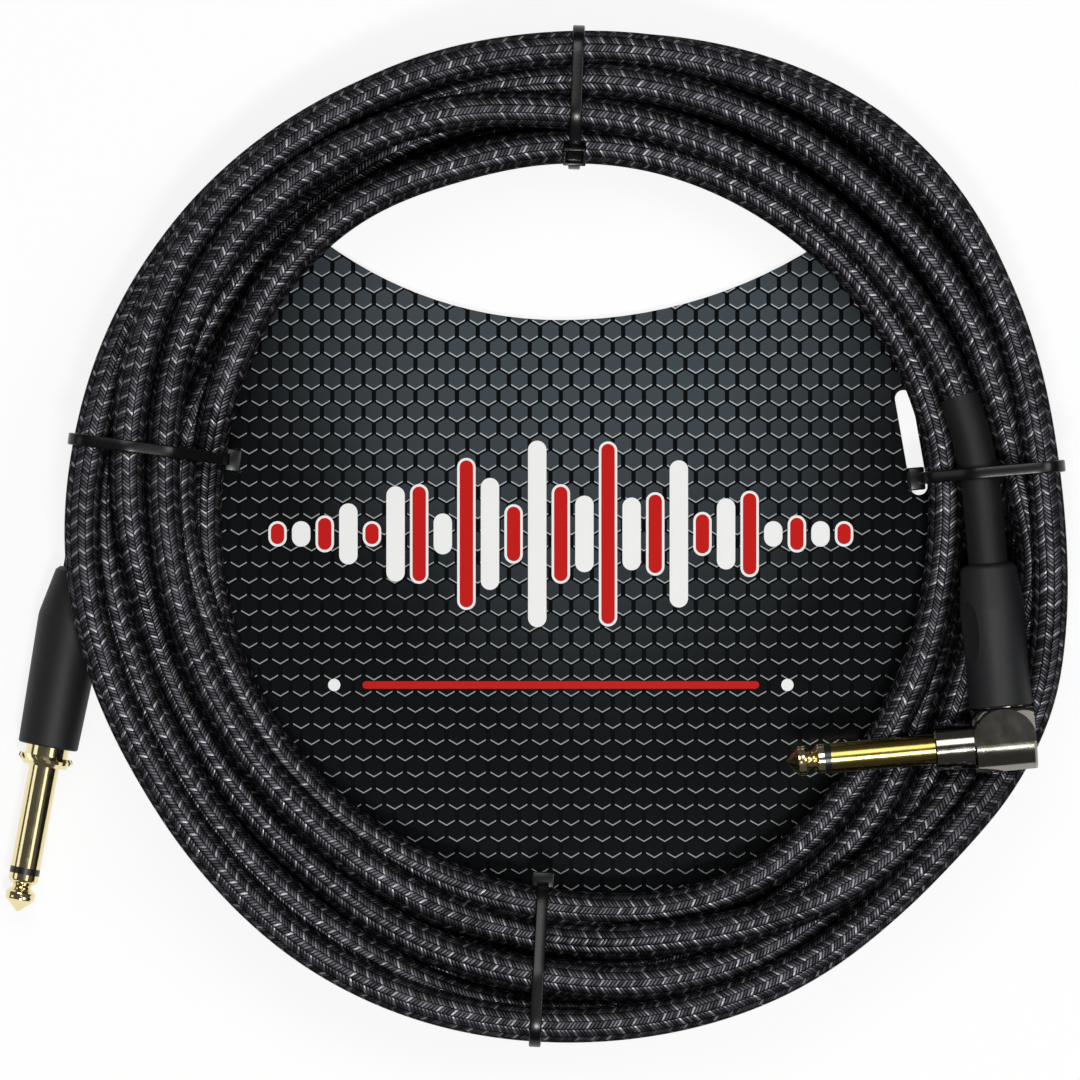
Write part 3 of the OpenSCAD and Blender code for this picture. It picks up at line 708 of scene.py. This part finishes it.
    def tube(self, name: str, path: np.ndarray) -> Object:
        """Skin a path with a round tube.

        Args:
            name: The object's name.
            path: Centres of the rings, in mm.

        Returns:
            The tube, with a UV map that runs round it and along it.
        """
        heading = np.gradient(path, axis=0)
        heading /= np.linalg.norm(heading, axis=1)[:, None]
        aside = np.cross(heading, (0, 0, 1))
        aside /= np.linalg.norm(aside, axis=1)[:, None]
        over = np.cross(aside, heading)
        count, sides = len(path), self.sides
        turned = np.linspace(0, 2 * math.pi, sides, endpoint=False)[:, None]
        rings = path[:, None] + self.radius * (np.cos(turned) * aside[:, None]
                                               + np.sin(turned) * over[:, None])
        verts = np.vstack([rings.reshape(-1, 3), path[:1], path[-1:]]) * MM
        faces, coords = [], []
        along = travelled(path) * MM
        for i in range(count - 1):
            here, there = i * sides, (i + 1) * sides
            for j in range(sides):
                k = (j + 1) % sides
                faces.append((here + j, there + j, there + k, here + k))
                coords += [((j + a) / sides, along[i + b])
                           for a, b in ((0, 0), (0, 1), (1, 1), (1, 0))]
        head, tail = count * sides, count * sides + 1
        for j in range(sides):
            k = (j + 1) % sides
            faces += [(head, j, k), (tail, (count - 1) * sides + k, (count - 1) * sides + j)]
            coords += [(0.5, 0.0)] * 3 + [(0.5, along[-1])] * 3
        mesh = bpy.data.meshes.new(name)
        mesh.from_pydata(verts.tolist(), [], faces)
        layer = mesh.uv_layers.new(name="round_along")
        layer.data.foreach_set("uv", np.array(coords, dtype=np.float32).ravel())
        mesh.polygons.foreach_set("use_smooth", [True] * len(mesh.polygons))
        mesh.update()
        return new_object(name, mesh)

    def build(self, frame: dict) -> np.ndarray:
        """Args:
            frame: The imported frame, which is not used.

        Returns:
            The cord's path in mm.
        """
        settled = self.settle(*self.route())
        path = self.even(self.through(settled, 4), self.ring_step)
        cord = self.tube("braided_cord", path)
        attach(cord, "root")
        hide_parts("coil_bundle", "straight_lead", "angled_lead")
        assign(cord, BraidedTextile().material())
        return path


# ---- plugs

@dataclass
class PlugFinish:
    """Which finish each rigid piece of the two plugs and of the card has."""

    finishes: tuple = (
        (SOFT_BLACK, "straight_shell angled_boot"),
        # the angled tip wears the pale plate as a painted highlight, a paler copy of the gold on
        # its sleeve
        (PALE_GOLD_AND_PAINTED_HIGHLIGHT, "straight_tip straight_sleeve straight_collar angled_tip"),
        (GOLD, "angled_sleeve straight_tip_tag angled_tip_tag"),
        (NICKEL, "angled_housing angled_collar straight_ground_tag straight_shield_braid "
                 "angled_shield_braid"),
        (RING_BLACK, "straight_tip_ring angled_tip_ring"),
        (WHITE_NYLON, "straight_insulator angled_insulator straight_washer straight_chuck "
                      "angled_chuck straight_signal_core angled_signal_core"),
        (PrintedCard(), "display_card"))

    def dress(self, frame: dict) -> None:
        """Put each finish on its nodes.

        Args:
            frame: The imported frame.
        """
        for finish, names in self.finishes:
            material = finish.material()
            for name in names.split():
                assign(frame["nodes"][name], material)
            LOG.info("%s: %s", finish.name, names)


# ---- modelling by hand

def new_object(name: str, data: bpy.types.ID) -> Object:
    """Make an object and put it in the scene.

    Args:
        name: Its name.
        data: Its mesh, curve, camera or light.

    Returns:
        The object.
    """
    obj = bpy.data.objects.new(name, data)
    bpy.context.scene.collection.objects.link(obj)
    return obj


def only(obj: Object) -> None:
    """Select one object and make it active."""
    bpy.ops.object.select_all(action="DESELECT")
    obj.select_set(True)
    bpy.context.view_layer.objects.active = obj


@contextmanager
def edit_mode(select: Optional[str] = "SELECT") -> Iterator[None]:
    """Edit the active mesh.

    Args:
        select: What to do with all of its elements first, if anything.
    """
    bpy.ops.object.mode_set(mode="EDIT")
    if select:
        bpy.ops.mesh.select_all(action=select)
    yield
    bpy.ops.object.mode_set(mode="OBJECT")


def modify(obj: Object, kind: str, **settings: object) -> None:
    """Give an object a modifier and apply it.

    Args:
        obj: The object.
        kind: Blender's name of the modifier type.
        settings: Attributes of the modifier.
    """
    only(obj)
    modifier = obj.modifiers.new(kind.lower(), kind)
    for name, value in settings.items():
        setattr(modifier, name, value)
    bpy.ops.object.modifier_apply(modifier=modifier.name)


def settle_place(obj: Object) -> None:
    """Move an object's place into its mesh, with its faces outwards."""
    only(obj)
    bpy.ops.object.transform_apply()
    with edit_mode():
        bpy.ops.mesh.normals_make_consistent(inside=False)


def join(pieces: list[Object], name: str) -> Object:
    """Join pieces into one.

    Args:
        pieces: The pieces.
        name: Name of the joined piece.

    Returns:
        The joined piece.
    """
    only(pieces[0])
    for piece in pieces:
        piece.select_set(True)
    bpy.ops.object.join()
    pieces[0].name = name
    return pieces[0]


# ---- the shrunk tube

@dataclass
class ShrinkTube:
    """The tube shrunk over the cord behind the angled plug, seamless all round."""

    name: str = "shrink_tube"
    node: str = "angled_heat_shrink"

    def build(self, frame: dict) -> None:
        """Copy the solid and shade it smooth round its wall.

        Args:
            frame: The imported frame.
        """
        tube = new_object(self.name, frame["nodes"][self.node].data.copy())
        only(tube)
        with edit_mode():
            bpy.ops.mesh.remove_doubles(threshold=0.005 * MM)
        bpy.ops.object.shade_smooth_by_angle(angle=math.radians(40))
        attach(tube, "root")
        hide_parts(self.node)
        assign(tube, SHRINK_BLACK.material())


# ---- the card's artwork

@dataclass
class CardArt:
    """A sound wave of rounded bars, printed across the card, with a thin rule below it, in mm."""

    bars: int = 25
    pitch: float = 5.0
    bar_width: float = 3.2
    rim: float = 0.7  # white that shows round a red bar
    middle_y: float = 1.5
    rule_y: float = -30.5
    rule_size: tuple = (84, 1.6)
    dot_x: float = 48
    dot_size: float = 2.6
    tallest: float = 40.0
    swell_power: float = 1.2
    ripple: tuple = (0.38, 2.2, 0.6)  # depth, radians from bar to bar, start
    ink: float = 0.03  # thickness of a print

    def bar(self, name: str, place: tuple, size: tuple, low: float = 0.0) -> Object:
        """Print one rounded bar.

        Args:
            name: The bar's name.
            place: Its middle, across from the coil's centre and upwards.
            size: Its width and height.
            low: Height of its underside over the card.

        Returns:
            The bar.
        """
        bpy.ops.mesh.primitive_plane_add(size=1, location=(
            (COIL_X + place[0]) * MM, place[1] * MM, (CARD_TOP + low + self.ink) * MM))
        bar = bpy.context.object
        bar.name = name
        bar.scale = (size[0] * MM, size[1] * MM, 1)
        bpy.ops.object.transform_apply(location=False, rotation=False)
        with edit_mode():
            bpy.ops.mesh.bevel(offset=0.499 * min(size) * MM, affect="VERTICES", segments=8)
        modify(bar, "SOLIDIFY", thickness=self.ink * MM, offset=-1)
        settle_place(bar)
        return bar

    def height(self, index: int) -> float:
        """Height of a bar, tallest in the middle and rippling towards the sides."""
        off = abs(index - (self.bars - 1) / 2) / (self.bars / 2)
        swell = math.cos(off * math.pi / 2) ** self.swell_power
        depth, turn, start = self.ripple
        ripple = 1 - depth + depth * math.cos(index * turn + start)
        return max(self.bar_width + 1.5, self.tallest * swell * ripple)

    def build(self) -> None:
        """Print every bar, the rule and its dots."""
        white, red = [], []
        for i in range(self.bars):
            place = ((i - (self.bars - 1) / 2) * self.pitch, self.middle_y)
            tall = self.height(i)
            white.append(self.bar(f"bar_{i}", place, (self.bar_width + self.rim, tall + self.rim)))
            if i % 2 == 0:
                red.append(self.bar(f"red_{i}", place, (self.bar_width - self.rim / 2,
                                                        tall - self.rim / 2), self.ink))
        red.append(self.bar("rule", (0, self.rule_y), self.rule_size))
        white += [self.bar(f"dot_{k}", (x, self.rule_y), (self.dot_size, self.dot_size))
                  for k, x in enumerate((-self.dot_x, self.dot_x))]
        for name, pieces, ink in (("card_wave_white", white, WHITE_INK),
                                  ("card_wave_red", red, RED_INK)):
            piece = join(pieces, name)
            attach(piece, "root")
            assign(piece, ink.material())


# ---- cable ties

@dataclass
class CableTie:
    """A nylon strap round all the turns, drawn through a square head, in mm."""

    name: str
    node: str
    angle: float  # degrees clockwise from the top
    head_r: float  # the head's distance from the coil's centre
    head_z: float
    slot_r: Optional[float] = 75.7  # where its inner leg goes down through the card
    skew: float = 0.0  # degrees that the strap leans off the coil's radius
    shrink: Optional[tuple] = None  # centre and radius of a tube that it also holds
    width: float = 2.5
    thick: float = 1.1
    slack: float = 0.15
    rounding: float = 0.3
    card_edge: float = 93.0  # where it comes up round the card's rim
    head_size: tuple = (4.2, 3.4, 4.8)
    head_rounding: float = 0.35
    pocket_rim: float = 0.7
    pocket_depth: float = 1.2
    head_drop: float = 0.9  # the head's middle from the strap's

    @property
    def turned(self) -> float:
        """Angle of the strap's plane, in radians."""
        return math.radians(self.angle + self.skew)

    def origin(self) -> np.ndarray:
        """Find where the strap's plane starts, beside the coil's centre if it leans, in mm."""
        head, strap = (np.array([math.sin(t), math.cos(t), 0])
                       for t in (math.radians(self.angle), self.turned))
        return COIL_CENTRE + self.head_r * (head - strap)

    def crossings(self, path: np.ndarray) -> list[tuple[float, float]]:
        """Find where strands cross the tie's plane.

        Args:
            path: The cord's path in mm.

        Returns:
            Distance from the coil's centre and height of each crossing.
        """
        sine, cosine = math.sin(self.turned), math.cos(self.turned)
        flat = path - self.origin()
        across, outward = flat @ (cosine, -sine, 0), flat @ (sine, cosine, 0)
        return [(float(outward[i]), float(path[i, 2])) for i in range(len(path) - 1)
                if outward[i] > 0 and (across[i] > 0) != (across[i + 1] > 0)]

    def loop(self, path: np.ndarray) -> np.ndarray:
        """Wrap the strap's middle line round the strands and under the card.

        Args:
            path: The cord's path in mm.

        Returns:
            The closed line, as distance out and height.
        """
        reach = CORD_RADIUS + self.thick / 2 + self.slack
        circles = [(r, z, reach) for r, z in self.crossings(path)]
        if self.shrink:
            r, z, size = self.shrink
            circles.append((r, z, size + reach - CORD_RADIUS))
        points = [(r + size * math.cos(t), z + size * math.sin(t)) for r, z, size in circles
                  for t in np.linspace(0, 2 * math.pi, 48, endpoint=False)]
        low = self.thick / 2
        points = [p for p in points if p[1] > low]
        if self.slot_r:
            points.append((self.slot_r, low))
        points.append((self.card_edge, low))
        points = [(round(x, 3), round(y, 3)) for x, y in points]
        corners = [points[i] for i in convex_hull_2d(points)]
        inmost = corners.index(min(corners))
        closed = np.array(corners[inmost:] + corners[:inmost + 1])
        along = travelled(closed)
        where = np.linspace(0, along[-1], 120, endpoint=False)
        line = np.stack([np.interp(where, along, closed[:, k]) for k in (0, 1)], axis=1)
        for _ in range(3):
            line = 0.5 * line + 0.25 * (np.roll(line, 1, axis=0) + np.roll(line, -1, axis=0))
        return line

    def stand(self, obj: Object) -> None:
        """Turn a shape drawn in the XY plane up into the tie's plane."""
        obj.location = self.origin() * MM
        obj.rotation_euler = (math.pi / 2, 0, math.pi / 2 - self.turned)
        settle_place(obj)

    def strap(self, line: np.ndarray) -> Object:
        """Draw the strap as a flat closed band.

        Args:
            line: The strap's middle line.

        Returns:
            The band.
        """
        curve = bpy.data.curves.new(self.name, "CURVE")
        curve.dimensions = "2D"
        curve.fill_mode = "NONE"
        curve.extrude = self.width / 2 * MM
        spline = curve.splines.new("POLY")
        spline.points.add(len(line) - 1)
        for point, (r, z) in zip(spline.points, line):
            point.co = (r * MM, z * MM, 0, 1)
        spline.use_cyclic_u = True
        band = new_object(self.name, curve)
        only(band)
        bpy.ops.object.convert(target="MESH")
        modify(band, "SOLIDIFY", thickness=self.thick * MM, offset=0)
        modify(band, "BEVEL", width=self.rounding * MM, segments=3, limit_method="ANGLE",
               angle_limit=math.radians(60))
        self.stand(band)
        return band

    def head(self, line: np.ndarray) -> Object:
        """Model the square head, with its pocket.

        Args:
            line: The strap's middle line.

        Returns:
            The head.
        """
        target = np.array([self.head_r, self.head_z])
        nearest = int(np.argmin(np.linalg.norm(line - target, axis=1)))
        ahead = line[(nearest + 2) % len(line)] - line[nearest - 2]
        lean = math.atan2(ahead[1], ahead[0])
        bpy.ops.mesh.primitive_cube_add(size=1)
        head = bpy.context.object
        head.scale = [side * MM for side in self.head_size]
        bpy.ops.object.transform_apply()
        with edit_mode("DESELECT"):
            pass  # its edges and corners are let go too
        for polygon in head.data.polygons:
            polygon.select = polygon.normal.y < -0.9
        with edit_mode(None):
            bpy.ops.mesh.inset(thickness=self.pocket_rim * MM)
            bpy.ops.mesh.extrude_region_move(
                TRANSFORM_OT_translate={"value": (0, self.pocket_depth * MM, 0)})
        modify(head, "BEVEL", width=self.head_rounding * MM, segments=3)
        centre = line[nearest] + self.head_drop * np.array([math.sin(lean), -math.cos(lean)])
        head.rotation_euler = (0, 0, lean)
        head.location = (centre[0] * MM, centre[1] * MM, 0)
        bpy.ops.object.transform_apply()
        self.stand(head)
        return head

    def build(self, path: np.ndarray) -> None:
        """Build and dress the tie.

        Args:
            path: The cord's path in mm.
        """
        line = self.loop(path)
        tie = join([self.strap(line), self.head(line)], self.name)
        only(tie)
        bpy.ops.object.shade_smooth_by_angle(angle=math.radians(35))
        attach(tie, "root")
        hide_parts(self.node)
        assign(tie, TIE_NYLON.material())
        LOG.info("%s: to %.1f mm out, %.1f mm high", self.name, *line.max(axis=0))


TIES = (CableTie("top_cable_tie", "tie_top", 2.0, 81.0, 24.0, slot_r=None),
        CableTie("right_cable_tie", "tie_right", 80.0, 75.0, 13.0, skew=5.0,
                 shrink=(LEAD_RADIUS, LEAD_HEIGHT, 4.4)),
        CableTie("bottom_cable_tie", "tie_bottom", 183.0, 71.0, 13.0),
        CableTie("left_cable_tie", "tie_left", 284.0, 69.5, 10.0, skew=-6.5))


# ---- light and camera

@dataclass
class Studio:
    """A pale floor, soft lights and the camera that looks straight down, in metres."""

    frame_width: float = 226.8 * MM
    look_at: tuple = (0.858 * MM, 0.21 * MM)
    look_height: float = 0.018
    lens: float = 300.0
    sensor: float = 36.0
    floor_size: float = 3.0
    floor_glow: float = 0.85  # share of its white that doesn't come from the lamps
    world: float = 0.08
    # name, place, side and watts; the last two are cards for the straight plug's shaft to mirror
    lamps: tuple = (("over_front", (0.05, -0.38, 1.05), 0.16, 6.5),
                    ("over_back", (-0.08, 0.45, 0.95), 0.5, 3.5),
                    ("over_right", (0.6, 0.1, 0.85), 0.35, 2.2),
                    ("right_card", (0.41, -0.16, 0.95), 0.35, 0.5),
                    ("left_card", (-0.99, 0.1, 0.5), 0.4, 0.55))

    def camera(self) -> None:
        """Hang the camera over the coil."""
        data = bpy.data.cameras.new("camera")
        data.lens = self.lens
        data.sensor_width = self.sensor
        data.clip_end = 10.0
        camera = new_object("camera", data)
        camera.location = (*self.look_at,
                           self.look_height + self.frame_width * self.lens / self.sensor)
        bpy.context.scene.camera = camera

    def floor(self) -> None:
        """Lay the floor, white to the camera and to reflections."""
        bpy.ops.mesh.primitive_plane_add(size=self.floor_size, location=(0, 0, -0.2 * MM))
        floor = bpy.context.object
        floor.name = "floor"
        material, tree = new_material("pale_floor")
        rays = add_node(tree, "LightPath").outputs
        seen = calc(tree, "MAXIMUM", rays["Is Camera Ray"], rays["Is Glossy Ray"])
        white = add_node(tree, "Emission", {"Color": (1, 1, 1, 1), "Strength": 1.0})
        matt = add_node(tree, "BsdfDiffuse", {"Color": linear("#f4f4f4")})
        half = add_node(tree, "MixShader", {
            0: self.floor_glow, 1: matt.outputs[0], 2: white.outputs[0]})
        close_surface(tree, add_node(tree, "MixShader", {
            0: seen, 1: matt.outputs[0], 2: half.outputs[0]}))
        assign(floor, material)

    def lamp(self, name: str, place: tuple, size: float, power: float) -> None:
        """Hang a soft lamp that faces the coil.

        Args:
            name: The lamp's name.
            place: Where it hangs, in metres.
            size: Its side.
            power: Its power in watts.
        """
        data = bpy.data.lights.new(name, "AREA")
        data.shape = "SQUARE"
        data.size = size
        data.energy = power
        lamp = new_object(name, data)
        lamp.location = place
        x, y, z = place
        lamp.rotation_euler = (0.0, math.atan2(math.hypot(x, y), z), math.atan2(y, x))

    def light(self) -> None:
        """Set the world and the lamps."""
        world = bpy.data.worlds.new("studio")
        world.use_nodes = True
        background = world.node_tree.nodes["Background"]
        background.inputs["Color"].default_value = (1, 1, 1, 1)
        background.inputs["Strength"].default_value = self.world
        bpy.context.scene.world = world
        for lamp in self.lamps:
            self.lamp(*lamp)
        bpy.context.scene.view_settings.view_transform = "Standard"

    def build(self) -> None:
        """Set the whole stage."""
        self.camera()
        self.floor()
        self.light()


def main() -> None:
    """Load the frame and build every piece."""
    logging.basicConfig(level=logging.INFO, format="%(message)s")
    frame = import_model()
    Studio().build()
    path = CordCoil().build(frame)
    PlugFinish().dress(frame)
    ShrinkTube().build(frame)
    CardArt().build()
    for tie in TIES:
        tie.build(path)


if __name__ == "__main__":
    main()
